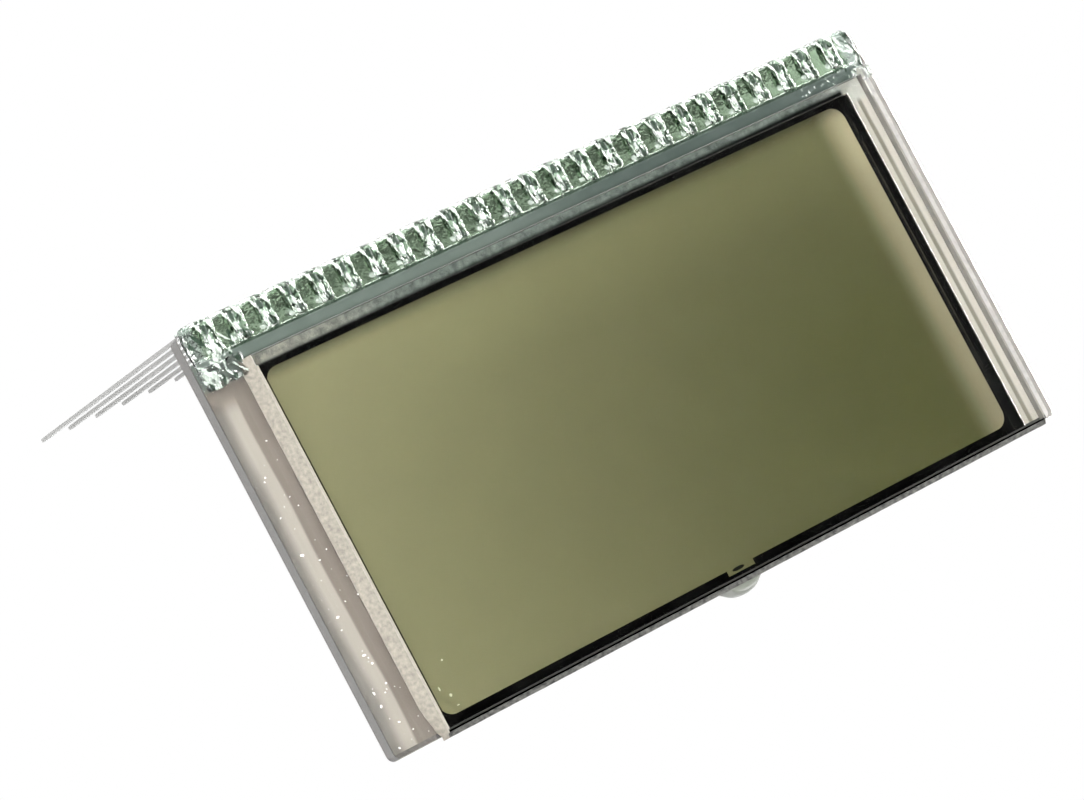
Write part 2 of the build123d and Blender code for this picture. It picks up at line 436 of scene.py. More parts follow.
# %% Seal and dots
seal_black = (0.0025, 0.002, 0.002, 1)
line_brown = (0.05, 0.045, 0.035, 1)
dot_black = (0.006, 0.006, 0.006, 1)
line_start, line_end, line_blur = 29.02, 29.12, 0.05
seal, tree, shader, place = new_material("seal_dark", Specular_IOR_Level=0.1)
cloud = clouds(tree, place, 0.8, 0.8)
axis = axes(tree, place)
line = product(
    tree,
    ramp(tree, axis[0], line_start - line_blur, line_start),
    ramp(tree, axis[0], line_end + line_blur, line_end),
    ramp(tree, axis[1], -31.0, -22.0),
    ramp(tree, axis[1], -5.6, -8.0),
)
border = blended(tree, line, seal_black, line_brown)
gloss = math_node(tree, "MULTIPLY", cloud["Mask"], 1.4, clamp=True)
wire(tree, shader, tinted(tree, border, cloud["Tone"]), gloss)
dots, tree, shader, place = new_material("dot_epoxy", Specular_IOR_Level=0.1)
cloud = clouds(tree, place, 0.2, 0.8)
gloss = math_node(tree, "MULTIPLY", cloud["Mask"], 1.2, clamp=True)
wire(tree, shader, tinted(tree, dot_black, cloud["Tone"]), gloss)
dress(seal, "seal_ring")
dress(dots, "transfer_dot_upper", "transfer_dot_lower")
print("seal line at", line_start, "to", line_end, "mm")

# %% [markdown]
# ## Rear film with its reflector
#
# Beside the front plate the rear film shows as a silver strip, and above that plate as a cooler band under
# the ledge. A real mirror here would show the lamps, so its tones are laid out along X and Y, as they look in
# the photograph, and only the gloss is left to the light. The light band at the left and the stripes at the
# right are painted light and painted reflections of the glass edges, and the dark bands are painted shadow.
# Below, a pair of numbers is where a tone starts and where it is full, in mm.

# %% Rear film: the strips at the left and the right
plate_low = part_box("rear_glass")[0] / MM
silver = (0.235, 0.217, 0.198, 1)
# Painted light and painted shadow on the film: the light band, the dark band by the front plate, and the
# stripes at the right.
silver_painted_light = (0.43, 0.39, 0.345, 1)
silver_painted_shade = (0.215, 0.185, 0.16, 1)
stripe_painted_light = (1.0, 0.925, 0.84, 1)
stripe_painted_shadow = (0.42, 0.38, 0.31, 1)
stripe_last = (0.3, 0.275, 0.245, 1)
left_painted_light, left_painted_shadow = (0.8, 1.8), (2.38, 2.66)
right_painted_stripes = (
    ((30.35, 30.5), stripe_painted_light),
    ((31.0, 31.15), stripe_painted_shadow),
    ((31.35, 31.6), stripe_painted_light),
    ((32.5, 32.7), stripe_last),
)
film_inset = 0.45
sway_amount = 0.9
rear_film, tree, shader, place = new_material("reflector_film", Metallic=0.02, Specular_IOR_Level=0.3)
axis = axes(tree, place)
sway = add_node(tree, "TexNoise", {"Vector": place, "Scale": 0.12, "Detail": 1.0}).outputs["Fac"]
swayed = math_node(tree, "MULTIPLY_ADD", sway, sway_amount, axis[0])
from_left = math_node(tree, "SUBTRACT", swayed, plate_low.x + film_inset)
band = layered(
    tree,
    silver,
    (ramp(tree, from_left, *left_painted_light), silver_painted_light),
    (ramp(tree, from_left, *left_painted_shadow), silver_painted_shade),
    *((ramp(tree, axis[0], *edges), colour) for edges, colour in right_painted_stripes),
)
print("strip at the left starts at", round(plate_low.x + film_inset, 2), "mm")

# %% Rear film: painted shade at the top of the left strip, and the band under the ledge
silver_green = (0.25, 0.285, 0.26, 1)
silver_deep_green = (0.13, 0.17, 0.15, 1)
silver_cream = (1, 0.97, 0.9, 1)
left_part, strip_top, band_start = (0.0, -20.0), (-7.0, -5.3), (-5.6, -5.0)
ledge_deep, ledge_cream = (-8.0, 10.0), (28.6, 29.8)
left_draw = 0.7
# The top of the left strip is darkened with painted shade.
towards_left = ramp(tree, axis[0], *left_part)
painted_shade_upper_left = product(tree, ramp(tree, axis[1], *strip_top), towards_left)
drawn_back = math_node(tree, "SUBTRACT", axis[1], product(tree, towards_left, left_draw))
ledge_tone = layered(
    tree,
    silver_green,
    (ramp(tree, axis[0], *ledge_deep), silver_deep_green),
    (ramp(tree, axis[0], *ledge_cream), silver_cream),
)
near_top = ramp(tree, drawn_back, *band_start)
band = layered(tree, band, (painted_shade_upper_left, silver_painted_shade), (near_top, ledge_tone))
print("the band under the ledge starts at", band_start[0], "mm")

# %% Rear film: the margin that shows through the front plate, and the finish
margin_grey = (0.46, 0.52, 0.475, 1)
margin_cream = (0.85, 0.82, 0.73, 1)
margin_pale = (0.85, 0.87, 0.83, 1)
margin_black = (0.01, 0.011, 0.01, 1)
margin_left, margin_right = (-12.0, -27.0), (26.5, 29.5)
plate_right, plate_start = (30.3, 29.9), (-28.5, -27.9)
margin_start, margin_end = (-3.45, -3.6), (-4.05, -4.45)
margin_lean = 0.006
under_plate = product(tree, ramp(tree, axis[0], *plate_right), ramp(tree, axis[0], *plate_start))
patches = clouds(tree, place, 0.6, 2.6)
margin = layered(
    tree,
    margin_grey,
    (ramp(tree, axis[0], *margin_left), margin_cream),
    (ramp(tree, axis[0], *margin_right), margin_pale),
)
in_margin = product(tree, under_plate, ramp(tree, axis[1], *margin_start))
askew = math_node(tree, "SUBTRACT", axis[1], product(tree, axis[0], margin_lean))
past_margin = product(tree, under_plate, ramp(tree, askew, *margin_end))
band = layered(tree, band, (in_margin, tinted(tree, margin, patches["Tone"])), (past_margin, margin_black))
grain = drawn_grain(tree, place, (3.0, 0.08, 3.0), 0.16)
cloud = clouds(tree, place, 1.5, 0.2)
wire(tree, shader, tinted(tree, band, grain["Tone"]), ramp(tree, cloud["Mask"], 0.3, 0.7, 0.38, 0.55))
bumped(tree, shader, grain["Height"], 0.00002, 0.3)
dress(rear_film, "rear_polarizer")
print("reflector_film has", len(tree.nodes), "nodes")

# %% [markdown]
# ## Tin-plated pins
#
# The pins are stamped from one strip and tinned. The heads are bright under the adhesive, in patches of
# painted glint on a dark ground. The legs are duller. Two materials would need the pins to be split, so one
# material blends from leg to head along Z.

# %% Pins
# The bright patches on the heads are painted glints.
head_dark, head_painted_glint = (0.1, 0.13, 0.1, 1), (0.62, 0.7, 0.62, 1)
leg_grey = (0.15, 0.15, 0.146, 1)
head_start, head_full = -2.0, 0.2
pin_metal, tree, shader, place = new_material("tinned_strip", Metallic=0.6)
grain = drawn_grain(tree, place, (2.0, 3.0, 0.12), 0.35)
cloud = clouds(tree, place, 6.0, 0.5)
on_head = ramp(tree, axes(tree, place)[2], head_start, head_full)
glint_patches = add_node(tree, "TexNoise", {"Vector": place, "Scale": 2.6, "Detail": 1.0}).outputs["Fac"]
head = blended(tree, ramp(tree, glint_patches, 0.46, 0.56), head_dark, head_painted_glint)
metal = blended(tree, on_head, leg_grey, tinted(tree, head, grain["Tone"]))
wire(tree, shader, tinted(tree, metal, cloud["Tone"]), ramp(tree, cloud["Mask"], 0.3, 0.7, 0.35, 0.5))
bumped(tree, shader, product(tree, grain["Height"], on_head), 0.00002, 0.3)
pin_names = [name for name in nodes if name.startswith("pin_") and name != "pin_adhesive"]
dress(pin_metal, *pin_names)
print(len(pin_names), "pins dressed")

# %% [markdown]
# ## Glass, clear and broken
#
# The faces of the plates are clear. Their sides were scribed and snapped, and look frosted, with more or less
# light in them. Rough clear glass would show whatever stands around it, so each broken side is mostly an
# opaque grey whose tone can be set, with a little of the glass's own clearness. All the sides are one frosted
# glass: their different greys are painted light and painted shade, side by side, and the darkest one is
# mottled with painted glints.

# %% Clear glass and clear film
glass_ior, plastic_ior = 1.52, 1.5


def clear_material(name, colour, ior, size, gloss):
    """Clear stuff with a touch of uneven gloss."""
    material, tree, shader, place = new_material(name, Transmission_Weight=1.0, IOR=ior)
    cloud = clouds(tree, place, size, 0.1)
    wire(tree, shader, colour, ramp(tree, cloud["Mask"], *gloss))
    return material


clear_glass = clear_material("clear_glass", (0.975, 0.985, 0.975, 1), glass_ior, 6.0, (0.45, 0.8, 0.0, 0.05))
film = clear_material("polarizer_film", (0.97, 0.97, 0.95, 1), plastic_ior, 4.0, (0.4, 0.8, 0.02, 0.06))

# %% A maker of uneven finishes, and the broken sides
darkest_tone = 0.12
break_gloss = (0.3, 0.7, 0.35, 0.75)
break_bump = (0.00006, 0.8)


def uneven_finish(name, colour, clarity, cloud, gloss, bump=None, shine=0.5, ior=plastic_ior):
    """Stuff of one colour. A cloud is (size in mm, contrast), gloss is (mask from, to, roughness from,
    to), and bump is (distance in m, strength)."""
    material, tree, shader, place = new_material(name, Transmission_Weight=clarity, IOR=ior)
    shader.inputs["Specular IOR Level"].default_value = shine
    patches = clouds(tree, place, *cloud)
    tone = math_node(tree, "MAXIMUM", patches["Tone"], darkest_tone)
    wire(tree, shader, tinted(tree, colour, tone), ramp(tree, patches["Mask"], *gloss))
    if bump:
        bumped(tree, shader, patches["Height"], *bump)
    return material


def break_finish(name, colour, clarity, contrast, shine=0.5, size=0.5):
    """Glass as it looks where it was broken: frosted, uneven in tone, and more or less clear."""
    return uneven_finish(name, colour, clarity, (size, contrast), break_gloss, break_bump, shine, glass_ior)


# Each grey below is set for the light that falls on its side: painted light and painted shade on one frosted
# glass.
grey_break = break_finish("grey_break", (0.07, 0.068, 0.066, 1), 0.12, 0.8, 0.08)
shaded_left_bevel = break_finish("shaded_left_bevel", (0.048, 0.046, 0.043, 1), 0.05, 1.0, 0.05)
lit_low_break = break_finish("lit_low_break", (0.15, 0.141, 0.13, 1), 0.05, 2.2, 0.1, 0.35)
lit_pale_break = break_finish("lit_pale_break", (0.5, 0.48, 0.455, 1), 0.35, 1.4)
lit_cream_break = break_finish("lit_cream_break", (0.122, 0.112, 0.093, 1), 0.1, 2.0, 0.2, 0.3)
lit_bright_edge = break_finish("lit_bright_edge", (0.155, 0.143, 0.122, 1), 0.1, 2.2, 0.3)
dull_edge = break_finish("dull_edge", (0.085, 0.09, 0.08, 1), 0.1, 1.6, 0.08)
# The strong mottling of this darkest side holds painted glints.
shaded_dark_break = break_finish("shaded_dark_break", (0.032, 0.0315, 0.029, 1), 0.02, 7.0, 0.08, 0.4)
crumb_white = break_finish("crumb_white", (0.8, 0.79, 0.75, 1), 0.2, 0.3)
print("broken glass:", [m.name for m in (grey_break, lit_low_break, lit_pale_break, lit_cream_break, shaded_dark_break)])

# %% The front film's cut edge
edge_dark = (0.035, 0.034, 0.032, 1)
# Painted highlights on the film's left and right cut sides.
edge_highlight_left = (0.17, 0.158, 0.132, 1)
edge_highlight_right = (0.36, 0.34, 0.3, 1)
edge_reach, edge_blur = 0.05, 0.05
film_low, film_high = (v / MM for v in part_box("front_polarizer"))
film_edge, tree, shader, place = new_material(
    "cut_film", Transmission_Weight=0.05, IOR=plastic_ior, Specular_IOR_Level=0.08
)
grain = drawn_grain(tree, place, (2.0, 4.0, 20.0), 1.4)
axis = axes(tree, place)
at_left = ramp(tree, axis[0], film_low.x + edge_reach + edge_blur, film_low.x + edge_reach)
at_right = ramp(tree, axis[0], film_high.x - edge_reach - edge_blur, film_high.x - edge_reach)
edge_tone = layered(tree, edge_dark, (at_left, edge_highlight_left), (at_right, edge_highlight_right))
wire(tree, shader, tinted(tree, edge_tone, grain["Tone"]), ramp(tree, grain["Height"], 0.3, 0.7, 0.3, 0.6))
bumped(tree, shader, grain["Height"], 0.00002, 0.5)
print("front film from", round(film_low.x, 2), "to", round(film_high.x, 2), "mm")

# %% [markdown]
# ## Adhesives
#
# The resin is clear and green. It is painted dark in the windows between the pins, as painted shade, and pale
# on the flat strip and over each finger, where it is thin or crazed. Each window also holds a painted
# highlight low down and a painted shadow beside the finger, and the outer side is painted paler, as light
# through the resin. Real depth would give some of this by absorption, but it takes many more samples to
# render, so the tones follow the pins.

# %% Clear adhesive: places
pin_pitch = 2.54
pins_end, lobe_start = 31.3, 28.7
stir_amount = 0.9
adhesive, tree, shader, place = new_material("green_adhesive", IOR=plastic_ior, Transmission_Weight=1.0)
stir = add_node(tree, "TexNoise", {"Vector": place, "Scale": 1.1, "Detail": 2.0}).outputs["Color"]
stir = add_node(tree, "VectorMath", {0: stir, 1: (0.5, 0.5, 0.5)}, operation="SUBTRACT").outputs[0]
stir = add_node(tree, "VectorMath", {0: stir, 3: stir_amount}, operation="SCALE").outputs[0]
stirred = add_node(tree, "VectorMath", {0: place, 1: stir}, operation="ADD").outputs[0]
axis = axes(tree, stirred)
wrapped = math_node(tree, "WRAP", axis[0], pin_pitch / 2, -pin_pitch / 2)
over_finger = ramp(tree, math_node(tree, "ABSOLUTE", wrapped), 0.56, 0.46)
# A painted highlight low in each window, and a painted shadow beside each finger.
painted_highlight_spot = spot(tree, wrapped, axis[1], (-0.62, -2.0), (0.36, 0.34))
painted_shadow_spot = spot(tree, wrapped, axis[1], (0.3, -1.95), (0.24, 0.36))
# The outer side is paler with painted light, and the foot darker with painted shade.
lit_outer_side = ramp(tree, axis[1], -0.25, 0.05)
foot = ramp(tree, axis[1], -2.35, -2.5)
flat_axis = axes(tree, place)
from_middle = math_node(tree, "ABSOLUTE", flat_axis[0])
on_strip = ramp(tree, flat_axis[1], -2.6, -2.72)
past_pins = ramp(tree, from_middle, pins_end, pins_end + 0.6)
on_lobe = product(tree, on_strip, ramp(tree, from_middle, lobe_start, lobe_start + 0.2))
print("pins at a pitch of", pin_pitch, "mm, lobes past", lobe_start, "mm")

# %% Clear adhesive: tones and relief
# The windows' dark green is painted shade; the pale spot and the outer side are painted light.
resin_shaded_window = (0.24, 0.325, 0.225, 1)
resin_finger = (0.3, 0.38, 0.3, 1)
resin_painted_highlight = (0.36, 0.44, 0.36, 1)
resin_shadow = (0.03, 0.06, 0.035, 1)
resin_lit_outer = (0.5, 0.54, 0.5, 1)
resin_strip = (0.62, 0.72, 0.67, 1)
resin_end = (0.31, 0.36, 0.325, 1)
resin_lobe = (0.93, 0.95, 0.94, 1)
calm_relief, wild_relief = 0.5, 0.85
resin = layered(
    tree,
    resin_shaded_window,
    (over_finger, resin_finger),
    (painted_highlight_spot, resin_painted_highlight),
    (painted_shadow_spot, resin_shadow),
    (lit_outer_side, resin_lit_outer),
    (foot, resin_shaded_window),
    (on_strip, resin_strip),
    (past_pins, resin_end),
    (on_lobe, resin_lobe),
)
cloud = clouds(tree, place, 0.8, 0.3)
wire(tree, shader, tinted(tree, resin, cloud["Tone"]), ramp(tree, cloud["Mask"], 0.45, 0.8, 0.01, 0.08))
craze = add_node(tree, "TexNoise", {"Vector": place, "Scale": 2.4, "Detail": 1.0}).outputs["Fac"]
wild = product(tree, over_finger, math_node(tree, "SUBTRACT", 1.0, on_strip))
relief = product(tree, craze, math_node(tree, "MULTIPLY_ADD", wild, wild_relief, calm_relief))
bumped(tree, shader, relief, 0.00012, 0.9)
print("green_adhesive has", len(tree.nodes), "nodes")

# %% Thin, crazed and cloudy adhesive, and adhesive with painted glints and painted shade
thin_left, thin_right = (0.053, 0.069, 0.058, 1), (0.025, 0.037, 0.031, 1)
thin_resin, tree, shader, place = new_material("thin_resin", Transmission_Weight=0.35, IOR=plastic_ior)
cloud = clouds(tree, place, 1.3, 0.25)
thin_tone = blended(tree, ramp(tree, axes(tree, place)[0], -8.0, 10.0), thin_left, thin_right)
wire(tree, shader, tinted(tree, thin_tone, cloud["Tone"]), ramp(tree, cloud["Mask"], 0.4, 0.8, 0.35, 0.5))
bumped(tree, shader, cloud["Height"], 0.00002, 0.3)
craze_gloss, craze_bump = (0.35, 0.7, 0.08, 0.35), (0.00006, 0.7)
shade_gloss, drop_gloss = (0.35, 0.7, 0.2, 0.5), (0.3, 0.8, 0.35, 0.5)
# The pale finish is crazing with a painted highlight, the bright one a painted glint, and the deep one
# painted shade.
crazed_highlit_resin = uneven_finish("crazed_highlit_resin", (0.165, 0.19, 0.165, 1), 0.2, (0.25, 1.6), craze_gloss, craze_bump)
glint_resin = uneven_finish("glint_resin", (0.27, 0.31, 0.27, 1), 0.2, (0.25, 1.2), craze_gloss, craze_bump)
shaded_resin = uneven_finish("shaded_resin", (0.012, 0.022, 0.014, 1), 0.3, (0.25, 0.8), shade_gloss, shine=0.15)
cloudy_drop = uneven_finish("cloudy_adhesive", (0.07, 0.075, 0.062, 1), 0.2, (0.6, 0.3), drop_gloss)
print("materials:", [m.name for m in bpy.data.materials if m.node_tree])

# %% [markdown]
# ## Modelling by hand, in code
#
# A new piece starts as a primitive of the right size and is then shaped in edit mode, as by hand.
# An operator works on all that is selected, so every step first deselects everything, and then
# faces, edges or corners are picked by where they lie.


# %% Helpers that select and open pieces
def select(*pieces):
    """Selects some pieces and nothing else. The first one is the active one."""
    bpy.ops.object.select_all(action="DESELECT")
    for piece in pieces:
        piece.select_set(True)
    bpy.context.view_layer.objects.active = pieces[0]


def edit(piece):
    """Opens a piece, and nothing else, in edit mode."""
    select(piece)
    bpy.ops.object.mode_set(mode="EDIT")


def finish_edit():
    """Goes back to object mode."""
    bpy.ops.object.mode_set(mode="OBJECT")


def slab(name, low, high, *finishes):
    """A box between two corners, as a cube primitive with its place in its mesh."""
    bpy.ops.object.select_all(action="DESELECT")
    bpy.ops.mesh.primitive_cube_add(size=1, location=(low + high) / 2, scale=high - low)
    piece = bpy.context.object
    piece.name = piece.data.name = name
    bpy.ops.object.transform_apply(location=True, rotation=True, scale=True)
    for finish in finishes:
        piece.data.materials.append(finish)
    return piece


# %% Helpers that pick parts in edit mode
def pick(piece, kind, wanted):
    """Selects each vertex, edge or face that passes a test, and says how many did."""
    bpy.ops.mesh.select_mode(type={"verts": "VERT", "edges": "EDGE", "faces": "FACE"}[kind])
    bpy.ops.mesh.select_all(action="DESELECT")
    mesh = bmesh.from_edit_mesh(piece.data)
    count = 0
    for part in getattr(mesh, kind):
        if wanted(part):
            part.select_set(True)
            count += 1
    bmesh.update_edit_mesh(piece.data)
    return count


def give_finish(piece, finish, wanted):
    """Gives the faces that pass a test one of the piece's finishes, and says how many there are."""
    count = pick(piece, "faces", wanted)
    piece.active_material_index = piece.data.materials.find(finish.name)
    bpy.ops.object.material_slot_assign()
    return count


def middle(part):
    """Where an edge or a face has its middle, in millimetres."""
    return sum((v.co for v in part.verts), Vector()) / len(part.verts) / MM


def runs_along(edge, axis):
    """Whether an edge runs along one axis."""
    run = edge.verts[1].co - edge.verts[0].co
    return abs(run[axis]) > 0.99 * run.length


def bevel_edges(piece, width, steps, wanted):
    """Bevels the edges that pass a test."""
    pick(piece, "edges", wanted)
    bpy.ops.mesh.bevel(offset=width, segments=steps, affect="EDGES")


def cut_across(axis, place, snap):
    """Cuts the whole piece at a place on one axis. Corners nearer to the cut than snap stay."""
    point, normal = Vector(), Vector()
    point[axis], normal[axis] = place, 1
    bpy.ops.mesh.select_all(action="SELECT")
    bpy.ops.mesh.bisect(plane_co=point, plane_no=normal, threshold=snap)


# %% Helpers for modifiers
def mark(piece, name, wanted):
    """Puts the vertices whose place passes a test into a new vertex group."""
    group = piece.vertex_groups.new(name=name)
    group.add([v.index for v in piece.data.vertices if wanted(v.co)], 1.0, "REPLACE")


def roughen(piece, label, group, size, depth, level):
    """Adds a Displace modifier that moves a vertex group by a cloud texture."""
    texture = bpy.data.textures.new(piece.name + "_" + label, "CLOUDS")
    texture.noise_scale = size
    displace = piece.modifiers.new(label, "DISPLACE")
    displace.texture, displace.vertex_group = texture, group
    displace.strength, displace.mid_level = depth, level


def apply_modifiers(piece):
    """Applies every modifier of a piece in turn."""
    select(piece)
    for modifier in list(piece.modifiers):
        bpy.ops.object.modifier_apply(modifier=modifier.name)


# %% [markdown]
# ## The two plates of glass
#
# A real plate is scribed with a wheel and snapped. Its faces are flat, its edges are sharp but
# nibbled, and its cut sides are frosted. Each plate is a slab whose sides are bevelled and divided,
# so that a Displace modifier can roughen only them. A hair of air is left towards the films, so that
# no two faces lie in one place.

# %% Plate maker
hair = 0.01 * MM
fine_snap = 0.1 * hair
nibble = 0.07 * MM
chip_size, chip_depth = 0.5 * MM, 0.05 * MM
cuts_along, cuts_up = 110, 4
corner_steps, nibble_steps = 8, 2
sharp_turn = math.radians(10)


def glass_plate(name, node, corner_radius, side_finish, edge_finish, *other_finishes):
    """A plate of glass in a CAD node's box, with frosted, uneven sides."""
    low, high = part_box(node)
    low, high = low + Vector((0, 0, hair)), high - Vector((0, 0, hair))
    plate = slab(name, low, high, clear_glass, side_finish, edge_finish, *other_finishes)
    edit(plate)
    if corner_radius:
        bevel_edges(plate, corner_radius, corner_steps, lambda e: runs_along(e, 2))
    bevel_edges(plate, nibble, nibble_steps, lambda e: not runs_along(e, 2))
    give_finish(plate, edge_finish, lambda f: abs(f.normal.z) < 0.9)
    give_finish(plate, side_finish, lambda f: abs(f.normal.z) < 0.1)
    for axis in (0, 1):
        pick(plate, "edges", lambda e: runs_along(e, axis) and abs(e.verts[0].co.z - e.verts[1].co.z) < hair)
        bpy.ops.mesh.subdivide(number_cuts=cuts_along)
    pick(plate, "edges", lambda e: runs_along(e, 2) and all(abs(f.normal.z) < 0.1 for f in e.link_faces))
    bpy.ops.mesh.subdivide(number_cuts=cuts_up)
    finish_edit()
    mark(plate, "sides", lambda co: low.z + nibble - hair < co.z < high.z - nibble + hair)
    roughen(plate, "chips", "sides", chip_size, chip_depth, 1.0)
    return plate


def finish_plate(plate, node):
    """Applies the plate's modifiers and hands it to the frame in place of its CAD node."""
    apply_modifiers(plate)
    bpy.ops.object.shade_smooth_by_angle(angle=sharp_turn)
    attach(plate, "root")
    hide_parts(node)
    print(plate.name, "has", len(plate.data.polygons), "faces")


# %% Front plate: its finishes, and its lower side, which broke at a slant
front_low, front_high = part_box("front_glass")
slant = 0.42 * MM
front_plate = glass_plate("front_plate", "front_glass", 0, lit_cream_break, lit_bright_edge, dull_edge, shaded_dark_break)
edit(front_plate)
give_finish(front_plate, dull_edge, lambda f: abs(f.normal.y) > 0.3 and abs(f.normal.x) < 0.3)
give_finish(
    front_plate, shaded_dark_break, lambda f: f.normal.y < -0.3 and abs(f.normal.x) < 0.3 and f.normal.z > -0.9
)
pick(front_plate, "verts", lambda v: v.co.y < front_low.y + 2 * nibble and v.co.z > front_high.z - 2 * nibble)
bpy.ops.transform.translate(value=(0, slant, 0))
finish_edit()

# %% Front plate: its left side, which flares out towards its foot and tapers off at its lower end
flare = 0.68 * MM
taper_length = 3.0 * MM
plate_levels, taper_steps = 6, 7
level_gap = (front_high.z - front_low.z - 2 * nibble) / (plate_levels - 1)
edit(front_plate)
for level in range(plate_levels):
    level_z = front_low.z + nibble + level * level_gap
    for step in range(taper_steps):
        start_y = front_low.y - hair + step * taper_length / taper_steps
        end_y = front_high.y + hair if step == taper_steps - 1 else start_y + taper_length / taper_steps
        share = (1 - level / (plate_levels - 1)) * ((step + 0.3) / (taper_steps - 0.7)) ** 0.6
        pick(
            front_plate,
            "verts",
            lambda v: v.co.x < front_low.x + 2 * nibble
            and abs(v.co.z - level_z) < 0.1 * MM
            and start_y <= v.co.y < end_y,
        )
        bpy.ops.transform.translate(value=(-flare * share, 0, 0))
give_finish(front_plate, lit_bright_edge, lambda f: f.normal.x > 0.3 and abs(f.normal.y) < 0.5)
finish_edit()
finish_plate(front_plate, "front_glass")

# %% Rear plate
corner_radius = 0.6 * MM
under_low, under_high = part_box("rear_polarizer")
rear_plate = glass_plate(
    "rear_plate", "rear_glass", corner_radius, grey_break, dull_edge, lit_pale_break, shaded_left_bevel, lit_low_break
)
edit(rear_plate)
cut_across(1, under_low.y, fine_snap)
for cut_x in (under_low.x, front_low.x, under_high.x):
    cut_across(0, cut_x, fine_snap)


def underside(face):
    """Whether a face lies under the plate."""
    return face.normal.z < -0.9


def below_film(face):
    """Whether a face lies nearer to the lower side than the rear film's edge."""
    return middle(face).y * MM < under_low.y


def left_of(face, place):
    """Whether a face lies to the left of a place."""
    return middle(face).x * MM < place


give_finish(rear_plate, grey_break, lambda f: underside(f) and (below_film(f) or left_of(f, under_low.x)))
give_finish(
    rear_plate, lit_pale_break, lambda f: f.normal.x > 0.5 or (underside(f) and not left_of(f, under_high.x))
)
give_finish(rear_plate, shaded_left_bevel, lambda f: f.normal.x < -0.3 and abs(f.normal.z) > 0.1)
give_finish(
    rear_plate,
    lit_low_break,
    lambda f: (f.normal.y < -0.3 or (underside(f) and below_film(f)))
    and not left_of(f, under_low.x)
    and left_of(f, front_low.x),
)
finish_edit()
finish_plate(rear_plate, "rear_glass")

# %% [markdown]
# ## Front film
#
# The polarizer is a plastic sheet, cut with a blade and laid on. A cut sheet has a fine burr, which catches
# the light as a bright line, so its sides get their own finish. The bright line at the right side and the
# fainter one at the left are painted highlights over that burr.

# %% Front film
burr, burr_steps = 0.04 * MM, 3
low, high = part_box("front_polarizer")
front_film = slab("front_film", low - Vector((0, 0, hair)), high, film, film_edge)
edit(front_film)
bevel_edges(front_film, burr, burr_steps, lambda e: middle(e).z * MM > high.z - hair)
give_finish(front_film, film_edge, lambda f: abs(f.normal.z) < 0.95)
finish_edit()
bpy.ops.object.shade_smooth_by_angle(angle=sharp_turn)
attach(front_film, "root")
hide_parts("front_polarizer")
print("front_film has", len(front_film.data.polygons), "faces")

# %% [markdown]
# ## End seal
#
# The cell is filled through a gap in its seal, and a drop of adhesive closes it. The drop sits on
# the cut sides of both plates. It could be a cut sphere, but a drop that has wetted an edge is
# flatter and longer, so a slab is pulled in at its outer side and smoothed by subdivision.

# %% End seal: a slab whose outer side is pulled in
low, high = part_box("end_seal")
drop_cuts, drop_rounds = 5, 3
drop_sink = 0.02 * MM
drop_squeeze, drop_shift = 0.78, 0.5 * MM
drop_pull = 0.98
drop = slab("end_drop", low, Vector((high.x, front_low.y + drop_sink, high.z)), cloudy_drop)
edit(drop)
pick(drop, "edges", lambda e: runs_along(e, 0))
bpy.ops.mesh.subdivide(number_cuts=drop_cuts)
drop_middle = (low.x + high.x) / 2
half_length = (high.x - low.x) / 2
for share in (1.0, 2 / 3, 1 / 3, 0.0):
    pick(
        drop,
        "verts",
        lambda v: v.co.y < low.y + hair and abs(abs(v.co.x - drop_middle) - share * half_length) < hair,
    )
    bulge = math.sqrt(max(0.0, 1 - share * share))
    bpy.ops.transform.translate(value=(0, (1 - bulge) * (front_low.y - low.y) * drop_pull, 0))
bpy.ops.mesh.select_all(action="SELECT")
bpy.ops.transform.resize(value=(drop_squeeze, 1, 1), center_override=(drop_middle - drop_shift, 0, 0))
finish_edit()

# %% End seal: rounded, but with a crease where it meets the glass
rounding = drop.modifiers.new("round", "SUBSURF")
rounding.levels = rounding.render_levels = drop_rounds
edit(drop)
pick(drop, "edges", lambda e: middle(e).y * MM > front_low.y)
bpy.ops.transform.edge_crease(value=1.0)
finish_edit()
apply_modifiers(drop)
bpy.ops.object.shade_smooth()
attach(drop, "root")
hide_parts("end_seal")
print("end_drop has", len(drop.data.polygons), "faces")

# %% Plug: the drop's adhesive that was drawn into the port, dark between the films
seal_low, seal_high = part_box("seal_ring")
port_middle, port_half = drop_middle + 0.3 * MM, 1.28 * MM
port_rounding, port_steps = 0.1 * MM, 3
plug = slab(
    "port_plug",
    Vector((port_middle - port_half, seal_low.y, seal_low.z + 0.5 * hair)),
    Vector((port_middle + port_half, field_low.y * MM - 0.5 * hair, seal_high.z - 0.5 * hair)),
    seal,
)
edit(plug)
bevel_edges(
    plug, port_rounding, port_steps, lambda e: runs_along(e, 2) and middle(e).y * MM > seal_low.y + hair
)
finish_edit()
bpy.ops.object.shade_smooth_by_angle(angle=math.radians(30))
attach(plug, "root")
print("port_plug has", len(plug.data.polygons), "faces")

# %% [markdown]
# ## Pin adhesive
#
# A bead of clear resin was run along the ledge over the pins' heads and cured. It stands in a hump
# over each pin and sags between them. One pitch of the bead is modelled, copied for every other pin
# and joined, and only then smoothed, so that no seam shows. A fluid simulation would be another way,
# but the humps would then not follow the pins.

# %% One pitch of the bead, its top drawn up row by row
pitch = pin_pitch * MM
pin_total = len(pin_names)
sunk = 0.03 * MM
wide_snap = 0.1 * MM
ledge_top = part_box("rear_glass")[1].z
bead_low, bead_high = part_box("pin_adhesive")
film_height = 0.2
